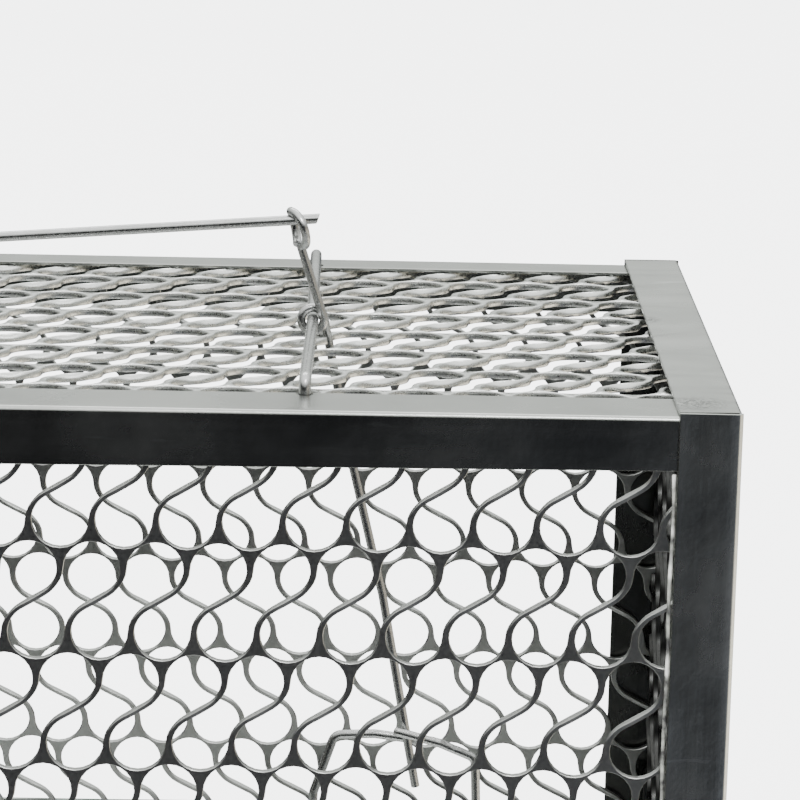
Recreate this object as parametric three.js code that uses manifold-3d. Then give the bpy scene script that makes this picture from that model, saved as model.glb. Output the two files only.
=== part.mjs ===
// Live catch trap: folded-strip cage with punched mesh, a sprung door with a trip rod over the roof,
// a bent-wire trigger on a pivot wire, and a treadle whose wire bail holds the trigger's tail.
// Millimetres, +Z up. Origin on the ground, under the middle of the overall length. -Y is the front side,
// -X the door end, +X the closed end. Rest pose: the trap is set, with its door held open.
// Pieces are drawn about the middle of the cage and moved by SHIFT at the end.
import * as THREE from 'three';
import manifoldModule from 'manifold-3d';

// ---- driving dimensions -------------------------------------------------------------------------
const LENGTH = 300;          // cage, outside, along X
const WIDTH = 150;           // cage, outside, along Y
const HEIGHT = 150;          // cage, outside, along Z
const SHEET = 0.8;           // folded strip thickness
const LEG = 12.7;            // strip leg, half of a 1 inch strip
const FOLD_R = 1.2;          // outer radius of a fold
const GAP = 0.3;             // clearance between separate pieces
const MESH_T = 1.6;          // punched mesh thickness
const PITCH = 12.6;          // mesh pitch along its intact lines
const SIDE_ROW = 23.3;       // spacing of the intact lines on the side panels
const ROOF_ROW = 17.7;       // and on the roof, which is pulled open less
const MESH_EDGE = 3.2;       // solid edge of a panel, hidden behind the strips
const BAR = 2.2;             // height of an intact line
const STRAND = 1.7;          // width of a slanted strand
const FLOOR_T = 0.8;

const SHIFT = 70.95;         // from the middle of the cage to the middle of the overall length

const TRIGGER_X = 64.2;      // pivot wire of the trigger
const TRIGGER_Z = HEIGHT + 1.8;
const PIVOT_R = 1.25;
const TRIGGER_R = 1.05;
const COIL_R = 2.45;         // mean radius of the trigger's turn round the pivot wire
const SHANK_Y = -5.4;
const TAIL_Y = -3.0;
const EYE = [60.1, 172.5];   // centre of the trigger's eye in X, Z
const EYE_R = 3.55;

const HINGE_X = -LENGTH / 2 - 3.2;
const HINGE_Z = HEIGHT - 6;
const HINGE_R = 1.25;
const DOOR_OPEN = 85.61;     // degrees from shut to set
const DOOR_HALF = 66;        // half width of the door
const DOOR_LOW = -139;       // door's lower edge, below the hinge when shut
const ROD_R = 1.1;
const ROD_OFFSET = -13.3;    // rod's distance outside the hinge when shut
const ROD_END = 220.3;       // rod's free end above the hinge when shut

const TREADLE_X = 132;
const TREADLE_Z = 8;
const TREADLE_TILT = 8;      // degrees the plate is raised when set
const TREADLE_PIN_R = 1.5;
const BAIL_R = 1.0;

// ---- helpers ------------------------------------------------------------------------------------
const wasm = await manifoldModule();
wasm.setup();
const { Manifold, Mesh, CrossSection } = wasm;
const rad = (d) => (d * Math.PI) / 180;
const X0 = -LENGTH / 2, X1 = LENGTH / 2, YF = -WIDTH / 2, YB = WIDTH / 2;

const finish = {
  strip: new THREE.MeshStandardMaterial({ color: 0x9da09d, metalness: 0.9, roughness: 0.42 }),
  mesh: new THREE.MeshStandardMaterial({ color: 0xaeb1b1, metalness: 0.9, roughness: 0.38 }),
  wire: new THREE.MeshStandardMaterial({ color: 0xc2c4c5, metalness: 0.95, roughness: 0.25 }),
  plate: new THREE.MeshStandardMaterial({ color: 0xa6aaa8, metalness: 0.9, roughness: 0.4 }),
  spring: new THREE.MeshStandardMaterial({ color: 0x7c7f82, metalness: 0.9, roughness: 0.35 }),
};

function geometryOf(positions, index) {
  const g = new THREE.BufferGeometry();
  g.setAttribute('position', new THREE.Float32BufferAttribute(positions, 3));
  g.setIndex(index);
  g.computeVertexNormals();
  return g;
}

function toManifold(g) {
  const p = g.attributes.position, seen = new Map(), verts = [], map = [];
  for (let i = 0; i < p.count; i++) {
    const key = [p.getX(i), p.getY(i), p.getZ(i)].map((v) => v.toFixed(5)).join();
    if (!seen.has(key)) { seen.set(key, verts.length / 3); verts.push(p.getX(i), p.getY(i), p.getZ(i)); }
    map.push(seen.get(key));
  }
  const idx = g.index ? Array.from(g.index.array) : [...Array(p.count).keys()];
  const tri = [];
  for (let i = 0; i < idx.length; i += 3) {
    const [a, b, c] = [map[idx[i]], map[idx[i + 1]], map[idx[i + 2]]];
    if (a !== b && b !== c && a !== c) tri.push(a, b, c);
  }
  return Manifold.ofMesh(new Mesh({
    numProp: 3, vertProperties: new Float32Array(verts), triVerts: new Uint32Array(tri),
  }));
}

function fromManifold(m) {
  const out = m.getMesh(), n = out.numProp, pos = [];
  for (let i = 0; i < out.vertProperties.length; i += n) {
    pos.push(out.vertProperties[i], out.vertProperties[i + 1], out.vertProperties[i + 2]);
  }
  return geometryOf(pos, Array.from(out.triVerts));
}

const cuboid = (x0, x1, y0, y1, z0, z1) => Manifold.cube([x1 - x0, y1 - y0, z1 - z0]).translate([x0, y0, z0]);
const rodAlongY = (r, y0, y1, x, z, n = 24) =>
  Manifold.cylinder(y1 - y0, r, r, n).rotate([-90, 0, 0]).translate([x, y0, z]);
const rodAlongZ = (r, z0, z1, x, y, n = 16) => Manifold.cylinder(z1 - z0, r, r, n).translate([x, y, z0]);

// prism between two outlines with the same number of points, each a list of [x, y, z]
function loft(a, b) {
  const n = a.length, pos = [...a, ...b].flat(), idx = [];
  for (let i = 0; i < n; i++) {
    const j = (i + 1) % n;
    idx.push(i, j, n + j, i, n + j, n + i);
  }
  const flat = (ring) => {
    // project on the plane the outline lies in
    const axis = [0, 1, 2].find((k) => ring.every((p) => Math.abs(p[k] - ring[0][k]) < 1e-9));
    const [u, v] = [0, 1, 2].filter((k) => k !== axis);
    return THREE.ShapeUtils.triangulateShape(ring.map((p) => new THREE.Vector2(p[u], p[v])), []);
  };
  for (const t of flat(a)) idx.push(t[2], t[1], t[0]);
  for (const t of flat(a)) idx.push(n + t[0], n + t[1], n + t[2]);
  return orient(pos, idx);
}

// closed body with its faces turned outwards and every shared edge run both ways
function orient(pos, idx) {
  const tris = [];
  for (let i = 0; i < idx.length; i += 3) tris.push([idx[i], idx[i + 1], idx[i + 2]]);
  const edge = new Map();
  tris.forEach((t, k) => t.forEach((v, i) => {
    const w = t[(i + 1) % 3], key = v < w ? `${v}_${w}` : `${w}_${v}`;
    if (!edge.has(key)) edge.set(key, []);
    edge.get(key).push([k, v]);
  }));
  const flip = new Array(tris.length).fill(null);
  flip[0] = false;
  const queue = [0];
  while (queue.length) {
    const k = queue.pop();
    tris[k].forEach((v, i) => {
      const w = tris[k][(i + 1) % 3], key = v < w ? `${v}_${w}` : `${w}_${v}`;
      for (const [other, start] of edge.get(key)) {
        if (other === k || flip[other] !== null) continue;
        flip[other] = (start === v) !== flip[k];
        queue.push(other);
      }
    });
  }
  let out = tris.map((t, k) => (flip[k] ? [t[0], t[2], t[1]] : t));
  const P = (i) => new THREE.Vector3(pos[3 * i], pos[3 * i + 1], pos[3 * i + 2]);
  let volume = 0;
  for (const t of out) volume += P(t[0]).dot(P(t[1]).cross(P(t[2])));
  if (volume < 0) out = out.map((t) => [t[0], t[2], t[1]]);
  return geometryOf(pos, out.flat());
}

// centreline with its corners rounded: points are [x, y, z], bend is the radius of the centreline
function rounded(points, bend, n = 4) {
  const V = points.map((p) => new THREE.Vector3(...p)), out = [V[0]];
  for (let i = 1; i < V.length - 1; i++) {
    const a = V[i - 1].clone().sub(V[i]), b = V[i + 1].clone().sub(V[i]);
    const la = a.length(), lb = b.length();
    a.normalize(); b.normalize();
    const half = a.angleTo(b) / 2;
    if (half > rad(88.5)) { out.push(V[i]); continue; }
    const cut = Math.min(bend / Math.tan(half), la * 0.48, lb * 0.48);
    const p0 = V[i].clone().addScaledVector(a, cut), p1 = V[i].clone().addScaledVector(b, cut);
    for (let k = 0; k <= n; k++) {
      const t = k / n;
      out.push(p0.clone().multiplyScalar((1 - t) ** 2).addScaledVector(V[i], 2 * t * (1 - t))
        .addScaledVector(p1, t * t));
    }
  }
  out.push(V[V.length - 1]);
  return out;
}

// round wire swept along a centreline, with flat ends
function wire(path, r, sides = 10) {
  const n = path.length, pos = [], idx = [];
  const tangent = (i) => path[Math.min(i + 1, n - 1)].clone().sub(path[Math.max(i - 1, 0)]).normalize();
  let t0 = tangent(0);
  let u = new THREE.Vector3(0, 1, 0);
  if (Math.abs(u.dot(t0)) > 0.9) u.set(1, 0, 0);
  u.addScaledVector(t0, -u.dot(t0)).normalize();
  for (let i = 0; i < n; i++) {
    const t = tangent(i);
    u.applyQuaternion(new THREE.Quaternion().setFromUnitVectors(t0, t));
    u.addScaledVector(t, -u.dot(t)).normalize();
    const v = t.clone().cross(u);
    for (let k = 0; k < sides; k++) {
      const a = (2 * Math.PI * k) / sides;
      const p = path[i].clone().addScaledVector(u, r * Math.cos(a)).addScaledVector(v, r * Math.sin(a));
      pos.push(p.x, p.y, p.z);
    }
    t0 = t;
  }
  for (let i = 0; i < n - 1; i++) {
    for (let k = 0; k < sides; k++) {
      const l = (k + 1) % sides, a = i * sides + k, b = i * sides + l, c = a + sides, d = b + sides;
      idx.push(a, b, d, a, d, c);
    }
  }
  for (let k = 1; k < sides - 1; k++) {
    idx.push(0, k + 1, k);
    idx.push((n - 1) * sides, (n - 1) * sides + k, (n - 1) * sides + k + 1);
  }
  return orient(pos, idx);
}

// turns a geometry about an axis parallel to Y through x, z
function turned(g, degrees, x, z) {
  return g.translate(-x, 0, -z).rotateY(rad(degrees)).translate(x, 0, z);
}

// ---- folded strips ------------------------------------------------------------------------------
// angle outline in two directions: a along the first leg, b along the second, fold at the origin
function angleOutline(legA, legB) {
  const pts = [[legA, 0], [legA, SHEET]], r = FOLD_R - SHEET;
  for (const d of [0, 45, 90]) pts.push([FOLD_R - r * Math.sin(rad(d)), FOLD_R - r * Math.cos(rad(d))]);
  pts.push([SHEET, legB], [0, legB]);
  for (const d of [90, 60, 30, 0]) {
    pts.push([FOLD_R - FOLD_R * Math.sin(rad(d)), FOLD_R - FOLD_R * Math.cos(rad(d))]);
  }
  return pts;
}

// strip along X, folded at y, z; sy and sz point into the cage; flange lies level, leg stands
function railStrip(y, z, sy, sz, flange, leg) {
  const end = (x, k) => angleOutline(flange[k], leg[k]).map(([a, b]) => [x, y + sy * a, z + sz * b]);
  const x = X1 - 2 * SHEET - 2 * GAP;
  return loft(end(-x, 0), end(x, 1));
}

// strip along Y at an end of the cage; sx points into the cage
function endStrip(x, z, sx, sz) {
  const end = (y) => angleOutline(LEG, LEG).map(([a, b]) => [x + sx * a, y, z + sz * b]);
  return loft(end(YF), end(YB));
}

// post along Z, one leg on the cage's side and one across its end
function post(x, y, sx, sy) {
  const z = SHEET + GAP;
  const end = (h) => angleOutline(LEG - SHEET - GAP, LEG).map(([a, b]) => [x + sx * a, y + sy * b, h]);
  return loft(end(z), end(HEIGHT - z));
}

// ---- punched mesh -------------------------------------------------------------------------------
function clipTo(poly, lo, hi) {
  let out = poly;
  for (const [k, at, s] of [[0, lo[0], 1], [0, hi[0], -1], [1, lo[1], 1], [1, hi[1], -1]]) {
    const src = out; out = [];
    for (let i = 0; i < src.length; i++) {
      const p = src[i], q = src[(i + 1) % src.length];
      const dp = s * (p[k] - at), dq = s * (q[k] - at);
      if (dp >= 0) out.push(p);
      if (dp * dq < 0) {
        const t = dp / (dp - dq);
        out.push([p[0] + t * (q[0] - p[0]), p[1] + t * (q[1] - p[1])]);
      }
    }
    if (out.length < 3) return [];
  }
  return out;
}

// panel in local x, y with its outline from lo to hi: rows of slanted openings between intact lines
function meshPanel(lo, hi, row, lean, phase) {
  const outlines = [[[lo[0], lo[1]], [hi[0], lo[1]], [hi[0], hi[1]], [lo[0], hi[1]]]];
  const inLo = [lo[0] + MESH_EDGE, lo[1] + MESH_EDGE], inHi = [hi[0] - MESH_EDGE, hi[1] - MESH_EDGE];
  const run = 0.92 * PITCH * lean, shift = 0.42 * PITCH * lean;
  const rows = Math.ceil((hi[1] - lo[1]) / row) + 1;
  const cols = Math.ceil((hi[0] - lo[0]) / PITCH) + 2 + Math.ceil(rows * 0.5);
  const hw = STRAND / 2 / Math.cos(Math.atan2(Math.abs(run), row));
  for (let k = 0; k < rows; k++) {
    const y = hi[1] - MESH_EDGE - phase[1] - (k - 0.5) * row;
    for (let c = -Math.ceil(rows * 0.5) - 2; c < cols; c++) {
      const x = lo[0] + phase[0] + c * PITCH - k * shift;
      const top = y - BAR / 2, low = y - row + BAR / 2;
      const poly = [
        [x + hw, top], [x + PITCH - hw, top],
        [x + PITCH - hw - run * 0.62, y - row * 0.6], [x + PITCH - hw - run, low],
        [x + hw - run, low], [x + hw - run * 0.38, y - row * 0.4],
      ];
      const cut = clipTo(poly, inLo, inHi);
      if (cut.length < 3) continue;
      const tidy = cut.filter((p, i) => Math.hypot(p[0] - cut[(i + 1) % cut.length][0],
        p[1] - cut[(i + 1) % cut.length][1]) > 0.05);
      const area = THREE.ShapeUtils.area(tidy.map((p) => new THREE.Vector2(...p)));
      if (tidy.length > 2 && Math.abs(area) > 9) outlines.push(tidy);
    }
  }
  const flat = new CrossSection(outlines, 'EvenOdd');
  return fromManifold(flat.extrude(MESH_T));
}

const MESH_X = X1 - SHEET * 2 - GAP * 3;               // half length of the long panels
const ROOF_LOW = HEIGHT - 2 * SHEET - 2 * GAP - MESH_T; // underside of the roof mesh
const SKIN = SHEET * 2 + GAP * 2;                      // from the outside to a long panel's outer face
const FLOOR_TOP = 2 * SHEET + 2 * GAP + FLOOR_T;

function sideMesh(front) {
  const g = meshPanel([-MESH_X, FLOOR_TOP + GAP], [MESH_X, ROOF_LOW - GAP], SIDE_ROW, 1, [7.5, 6.4]);
  g.rotateX(rad(90));                                   // local y becomes Z, depth runs to -Y
  return g.translate(0, front ? YF + SKIN + MESH_T : YB - SKIN, 0);
}

function roofMesh() {
  const half = WIDTH / 2 - SKIN;
  const g = meshPanel([-MESH_X, -half], [MESH_X, half], ROOF_ROW, 1, [3.1, 9.2]);
  g.translate(0, 0, ROOF_LOW);
  const slot = cuboid(TRIGGER_X - 3, TRIGGER_X + 10.5, TAIL_Y - 5.5, TAIL_Y + 4.5, ROOF_LOW - 1, HEIGHT);
  const wells = pivotLegs().map((y) => rodAlongZ(PIVOT_R + 0.5, ROOF_LOW - 1, HEIGHT, TRIGGER_X, y));
  return fromManifold(wells.reduce((m, w) => m.subtract(w), toManifold(g).subtract(slot)));
}

function backMesh() {
  const half = WIDTH / 2 - SKIN - MESH_T - GAP;
  const g = meshPanel([-half, FLOOR_TOP + GAP], [half, ROOF_LOW - GAP], SIDE_ROW, 1, [5.2, 12.4]);
  g.rotateX(rad(90)).rotateZ(rad(90));                  // local x becomes Y
  g.computeBoundingBox();
  return g.translate(X1 - 2 * SHEET - 2 * GAP - g.boundingBox.max.x, 0, 0);
}

function floorSheet() {
  const half = WIDTH / 2 - SKIN;
  const z = FLOOR_TOP - FLOOR_T;
  return fromManifold(cuboid(-MESH_X, MESH_X, -half, half, z, FLOOR_TOP));
}

// ---- trigger ------------------------------------------------------------------------------------
function pivotLegs() { return [YF + 15.6, YB - 8.6]; }

// a strip with a hole for a leg of the pivot wire
function notched(g, y) {
  return fromManifold(toManifold(g).subtract(rodAlongZ(PIVOT_R + 0.5, HEIGHT - 6, HEIGHT + 1, TRIGGER_X, y)));
}

function pivotWire() {
  const [a, b] = pivotLegs(), z = HEIGHT - 9;
  const path = rounded([[TRIGGER_X, a, z], [TRIGGER_X, a, TRIGGER_Z], [TRIGGER_X, b, TRIGGER_Z],
    [TRIGGER_X, b, z]], 2.4, 4);
  return wire(path, PIVOT_R, 12);
}

function triggerWire() {
  const down = [0.29, -0.957], path = [];
  // open eye round the rod, its plane leaning with the shank
  for (let k = 0; k <= 16; k++) {
    const a = rad(-118 + (k / 16) * 298);
    const h = EYE_R * Math.sin(a - rad(90)), w = EYE_R * Math.cos(a - rad(90));
    path.push(new THREE.Vector3(EYE[0] + down[0] * h * 1, SHANK_Y + w, EYE[1] + down[1] * h));
  }
  const tail = [[73.5, 119.1], [80.6, 89.8], [85.9, 61.1], [88.8, 45.7]];
  const from = Math.atan2(0.29, 0.957), turns = 2 * Math.PI + rad(4.8), steps = 16;
  const foot = path.pop();
  path.push(new THREE.Vector3(foot.x, SHANK_Y, foot.z));
  for (let k = 0; k <= steps; k++) {
    const a = from - (turns * k) / steps;
    path.push(new THREE.Vector3(TRIGGER_X + COIL_R * Math.cos(a), SHANK_Y + ((TAIL_Y - SHANK_Y) * k) / steps,
      TRIGGER_Z + COIL_R * Math.sin(a)));
  }
  for (const [x, z] of tail) path.push(new THREE.Vector3(x, TAIL_Y, z));
  return wire(path, TRIGGER_R, 10);
}

// ---- treadle ------------------------------------------------------------------------------------
const treadleTop = (x) => TREADLE_Z + 3.6 / Math.cos(rad(TREADLE_TILT))
  + (TREADLE_X - x) * Math.tan(rad(TREADLE_TILT));

function treadlePlate() {
  const x = TREADLE_X, z = TREADLE_Z;
  const sheet = cuboid(x - 84, x + 6, -46, 46, z + 2.7, z + 3.6);
  const lip = cuboid(x - 84, x - 83.1, -46, 46, z - 0.4, z + 3);
  const sides = [-46, 45.1].map((y) => cuboid(x - 84, x + 6, y, y + 0.9, z - 0.4, z + 3)
    .add(cuboid(x - 7, x + 6, y, y + 0.9, z - 3, z + 3)));
  const bore = rodAlongY(TREADLE_PIN_R + 0.1, -60, 60, x, z);
  const solid = sides.reduce((m, s) => m.add(s), sheet.add(lip)).subtract(bore);
  return turned(fromManifold(solid), TREADLE_TILT, x, z);
}

function treadlePin() {
  const body = rodAlongY(TREADLE_PIN_R, -56, 56, TREADLE_X, TREADLE_Z, 20);
  const heads = [-57.5, 56].map((y) => rodAlongY(2.6, y, y + 1.5, TREADLE_X, TREADLE_Z, 20));
  return fromManifold(heads.reduce((m, h) => m.add(h), body));
}

function treadleLug(s) {
  const x = TREADLE_X, y = s * 52, t = 1.2;
  const foot = cuboid(x - 6, x + 6, Math.min(y, y + s * -5), Math.max(y, y + s * -5), FLOOR_TOP + GAP,
    FLOOR_TOP + GAP + t);
  const ear = cuboid(x - 6, x + 6, Math.min(y, y - s * t), Math.max(y, y - s * t), FLOOR_TOP + GAP,
    TREADLE_Z + 4.2);
  return fromManifold(foot.add(ear).subtract(rodAlongY(TREADLE_PIN_R + 0.1, -60, 60, x, TREADLE_Z)));
}

function bailRear() {
  const y = TAIL_Y + TRIGGER_R + BAIL_R + GAP, lift = BAIL_R + GAP;
  const path = rounded([[57, y, treadleTop(57) + lift], [65.4, y, treadleTop(65.4) + lift],
    [66.2, y, 43.1], [70.7, y, 56.7], [79.6, y, 57], [90, y, 55.6]], 2.6, 4);
  return wire(path, BAIL_R, 10);
}

function bailFront() {
  const y = TAIL_Y - TRIGGER_R - BAIL_R - GAP, lift = BAIL_R + GAP;
  const path = rounded([[84.2, y, 59.2], [94, y, 56.6], [101.8, y, 53.3], [102.2, y, 43.9],
    [102.7, y, treadleTop(102.7) + lift], [111, y, treadleTop(111) + lift]], 2.6, 4);
  return wire(path, BAIL_R, 10);
}

// ---- door, drawn shut with the hinge at 0, 0 and turned open afterwards ---------------------------
const place = (g) => {
  g.rotateY(rad(DOOR_OPEN)).translate(HINGE_X, 0, HINGE_Z);
  return g;
};

function doorFrame() {
  const ring = cuboid(1.8, 2.6, -DOOR_HALF, DOOR_HALF, DOOR_LOW, -3)
    .subtract(cuboid(0, 5, -DOOR_HALF + 11, DOOR_HALF - 11, DOOR_LOW + 11, -24));
  const hems = [-DOOR_HALF, DOOR_HALF - 0.8].map((y) => cuboid(-1.4, 2.6, y, y + 0.8, DOOR_LOW, -7));
  const foot = cuboid(-1.4, 2.6, -DOOR_HALF, DOOR_HALF, DOOR_LOW, DOOR_LOW + 0.8);
  return place(fromManifold(hems.reduce((m, h) => m.add(h), ring.add(foot))));
}

function doorMesh() {
  const half = DOOR_HALF - 6.6;
  const g = meshPanel([-half, DOOR_LOW + 9], [half, -9.6], SIDE_ROW, 1, [4.4, 10.2]);
  g.rotateX(rad(90)).rotateZ(rad(90));
  g.computeBoundingBox();
  return place(g.translate(2.6 + GAP - g.boundingBox.min.x, 0, 0));
}

function doorKnuckle(s) {
  const y0 = s > 0 ? 44 : -54;
  const tube = rodAlongY(HINGE_R + 1.1, y0, y0 + 10, 0, 0, 28);
  const tab = cuboid(0.7, 1.5, y0, y0 + 10, -13, 0);
  return place(fromManifold(tube.add(tab).subtract(rodAlongY(HINGE_R + 0.1, y0 - 1, y0 + 11, 0, 0, 28))));
}

function tripRod() {
  const x = 1.8 - GAP - ROD_R;
  const path = rounded([[x, SHANK_Y, DOOR_LOW + 4], [x, SHANK_Y, -9.5], [ROD_OFFSET, SHANK_Y, 13],
    [ROD_OFFSET, SHANK_Y, ROD_END]], 9, 6);
  return place(wire(path, ROD_R, 12));
}

function rodClip(low) {
  const base = 1.8 - GAP, rc = base - ROD_R, pts = [];
  const put = (dy, h) => pts.push([base - h, SHANK_Y + dy]);
  put(-8, 0); put(-8, 0.8); put(-2.2, 0.8);
  for (const a of [180, 150, 120, 90, 60, 30, 0]) {
    put(2.2 * Math.cos(rad(a)), base - rc + 2.2 * Math.sin(rad(a)));
  }
  put(2.2, 0.8); put(8, 0.8); put(8, 0); put(1.4, 0);
  for (const a of [0, 30, 60, 90, 120, 150, 180]) {
    put(1.4 * Math.cos(rad(a)), base - rc + 1.4 * Math.sin(rad(a)));
  }
  put(-1.4, 0);
  const at = (z) => pts.map(([x, y]) => [x, y, z]);
  return place(loft(at(low), at(low + 6)));
}

function hingePin() {
  const body = rodAlongY(HINGE_R, -70, 70, HINGE_X, HINGE_Z, 24);
  const heads = [-71.4, 70].map((y) => rodAlongY(1.8, y, y + 1.4, HINGE_X, HINGE_Z, 24));
  return fromManifold(heads.reduce((m, h) => m.add(h), body));
}

function hingeLug(s) {
  const ear = cuboid(HINGE_X - 3.4, X0 - GAP, Math.min(s * 67, s * 68.4), Math.max(s * 67, s * 68.4),
    HINGE_Z - 4, HINGE_Z + 4);
  const foot = cuboid(X0 - GAP - SHEET, X0 - GAP, Math.min(s * 67, s * 74), Math.max(s * 67, s * 74),
    HINGE_Z - 4.6, HINGE_Z + 4.6);
  return fromManifold(ear.add(foot).subtract(rodAlongY(HINGE_R + 0.1, -75, 75, HINGE_X, HINGE_Z)));
}

// torsion spring on the hinge pin: one leg over the roof strip, one on the door's outer face
function doorSpring(s) {
  const r = 0.65, R = HINGE_R + 0.15 + r, path = [], turns = 5 + 120 / 360, n = 64;
  const y0 = s * 20, pitch = s * 1.55, top = HEIGHT + r + GAP, x = HINGE_X + R;
  for (const p of rounded([[X0 + 18, y0, top], [x, y0, top], [x, y0, HINGE_Z + 1.2]], 1.4, 4)) path.push(p);
  for (let k = 0; k <= n; k++) {
    const a = -((turns * 2 * Math.PI) * k) / n;
    path.push(new THREE.Vector3(HINGE_X + R * Math.cos(a), y0 + (pitch * turns * k) / n,
      HINGE_Z + R * Math.sin(a)));
  }
  const y1 = y0 + pitch * turns, o = rad(90 - DOOR_OPEN);
  const leg = (u, w) => new THREE.Vector3(HINGE_X - u * Math.cos(o) - w * Math.sin(o) * 1,
    y1, HINGE_Z - u * Math.sin(o) + w * Math.cos(o));
  path.push(leg(3.4, -0.75), leg(7, -0.75), leg(26, -0.75));
  return wire(path, r, 8);
}

// ---- assembly -----------------------------------------------------------------------------------
function build() {
  const group = new THREE.Group();
  group.name = 'live_catch_trap';
  const add = (name, geometry, material) => {
    const m = new THREE.Mesh(geometry.translate(SHIFT, 0, 0), material);
    m.name = name;
    group.add(m);
  };
  const inset = SHEET + GAP;
  const frontFlange = [14.2, 16], frontLeg = [12.9, 11], rearFlange = [9.2, 9.2], rearLeg = [12.2, 11.4];
  const topFront = railStrip(YF + inset, HEIGHT - inset, 1, -1, frontFlange, frontLeg);
  const topRear = railStrip(YB - inset, HEIGHT - inset, -1, -1, rearFlange, rearLeg);
  add('rail_top_front', notched(topFront, pivotLegs()[0]), finish.strip);
  add('rail_top_rear', notched(topRear, pivotLegs()[1]), finish.strip);
  add('rail_bottom_front', railStrip(YF + inset, inset, 1, 1, [LEG, LEG], [LEG, LEG]), finish.strip);
  add('rail_bottom_rear', railStrip(YB - inset, inset, -1, 1, [LEG, LEG], [LEG, LEG]), finish.strip);
  for (const [end, x, sx] of [['closed_end', X1, -1], ['door_end', X0, 1]]) {
    add(`${end}_strip_top`, endStrip(x, HEIGHT, sx, -1), finish.strip);
    add(`${end}_strip_bottom`, endStrip(x, 0, sx, 1), finish.strip);
    add(`${end}_post_front`, post(x + sx * inset, YF, sx, 1), finish.strip);
    add(`${end}_post_rear`, post(x + sx * inset, YB, sx, -1), finish.strip);
  }
  add('mesh_front', sideMesh(true), finish.mesh);
  add('mesh_rear', sideMesh(false), finish.mesh);
  add('mesh_roof', roofMesh(), finish.mesh);
  add('mesh_closed_end', backMesh(), finish.mesh);
  add('floor_sheet', floorSheet(), finish.plate);
  add('pivot_wire', pivotWire(), finish.wire);
  add('trigger_wire', triggerWire(), finish.wire);
  add('treadle_plate', treadlePlate(), finish.plate);
  add('treadle_pin', treadlePin(), finish.wire);
  add('treadle_lug_front', treadleLug(-1), finish.plate);
  add('treadle_lug_rear', treadleLug(1), finish.plate);
  add('bail_wire_rear', bailRear(), finish.wire);
  add('bail_wire_front', bailFront(), finish.wire);
  add('door_frame', doorFrame(), finish.strip);
  add('door_mesh', doorMesh(), finish.mesh);
  add('door_knuckle_front', doorKnuckle(-1), finish.strip);
  add('door_knuckle_rear', doorKnuckle(1), finish.strip);
  add('trip_rod', tripRod(), finish.wire);
  add('rod_clip_top', rodClip(-22.5), finish.strip);
  add('rod_clip_bottom', rodClip(DOOR_LOW + 2.5), finish.strip);
  add('hinge_pin', hingePin(), finish.wire);
  add('hinge_lug_front', hingeLug(-1), finish.strip);
  add('hinge_lug_rear', hingeLug(1), finish.strip);
  add('door_spring_front', doorSpring(-1), finish.spring);
  add('door_spring_rear', doorSpring(1), finish.spring);
  return group;
}

export default build();
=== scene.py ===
import math
import bpy
import bmesh
import numpy as np
from mathutils import Matrix, Vector, noise
from mathutils.geometry import delaunay_2d_cdt


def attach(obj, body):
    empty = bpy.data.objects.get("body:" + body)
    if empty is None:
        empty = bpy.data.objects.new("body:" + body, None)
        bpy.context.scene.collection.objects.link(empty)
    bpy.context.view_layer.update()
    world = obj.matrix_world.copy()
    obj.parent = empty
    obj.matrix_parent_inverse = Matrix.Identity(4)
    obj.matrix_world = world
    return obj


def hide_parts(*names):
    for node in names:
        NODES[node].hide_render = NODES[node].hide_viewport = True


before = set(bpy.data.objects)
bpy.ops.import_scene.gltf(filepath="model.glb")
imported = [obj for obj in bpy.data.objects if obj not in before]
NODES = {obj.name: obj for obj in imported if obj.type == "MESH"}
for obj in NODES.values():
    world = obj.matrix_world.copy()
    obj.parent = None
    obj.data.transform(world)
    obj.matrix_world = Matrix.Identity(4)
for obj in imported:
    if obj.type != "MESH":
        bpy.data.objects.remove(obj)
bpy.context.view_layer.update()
SCENE = bpy.context.scene

# ---- shared dimensions, millimetres in the shared frame ------------------------------------------
MM_PER_M = 1000
SHIFT = 70.95                              # the cage's middle, along x
X0, X1 = SHIFT - 150, SHIFT + 150          # ends of the cage
HALF = 75                                  # half width of the cage
HEIGHT = 150
SHEET = 0.8                                # thickness of the folded strips
LEG = 12.7                                 # width of a strip's leg
FOLD = 1.05                                # outer radius of a strip's fold
PITCH = 12.66                              # punched mesh, along its intact lines
ROW = 23.35                                # from one intact line to the next
ROOF_ROW = 17.6
HOLE_R = 5.65                              # radius of the openings' round ends
WEB = 0.65                                 # the intact line's edges stand this far off its middle
STRAND = 0.92                              # width of a pulled strand
THICK = 1.6                                # thickness of the punched sheet
PIVOT_X, PIVOT_Z = 64.2 + SHIFT, 151.8     # axis the trigger turns on
PIVOT_FRONT = (PIVOT_X - 1.2, -59.4)       # where the pivot wire's ends go down, x and y
PIVOT_REAR = (PIVOT_X + 0.5, 66.4)
PIVOT_R = 1.25
TRIGGER_R = 0.95
BAIL_R = 1.0
ROD_R = 1.1
HINGE = (-153.2 + SHIFT, 144)              # axis of the door, x and z
DOOR_OPEN = math.radians(85.61)
TREADLE = (132 + SHIFT, 8)                 # axis of the treadle, x and z
TILT = math.radians(8)
SHANK_Y, TAIL_Y = -5.4, -3.0               # the trigger's two sides of its turn


# ---- materials -----------------------------------------------------------------------------------
MIX_A, MIX_B, MIX_RESULT = 6, 7, 2         # the Mix node's colour sockets


def toned(tone, color):
    return tuple(tone * c for c in color)


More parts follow.
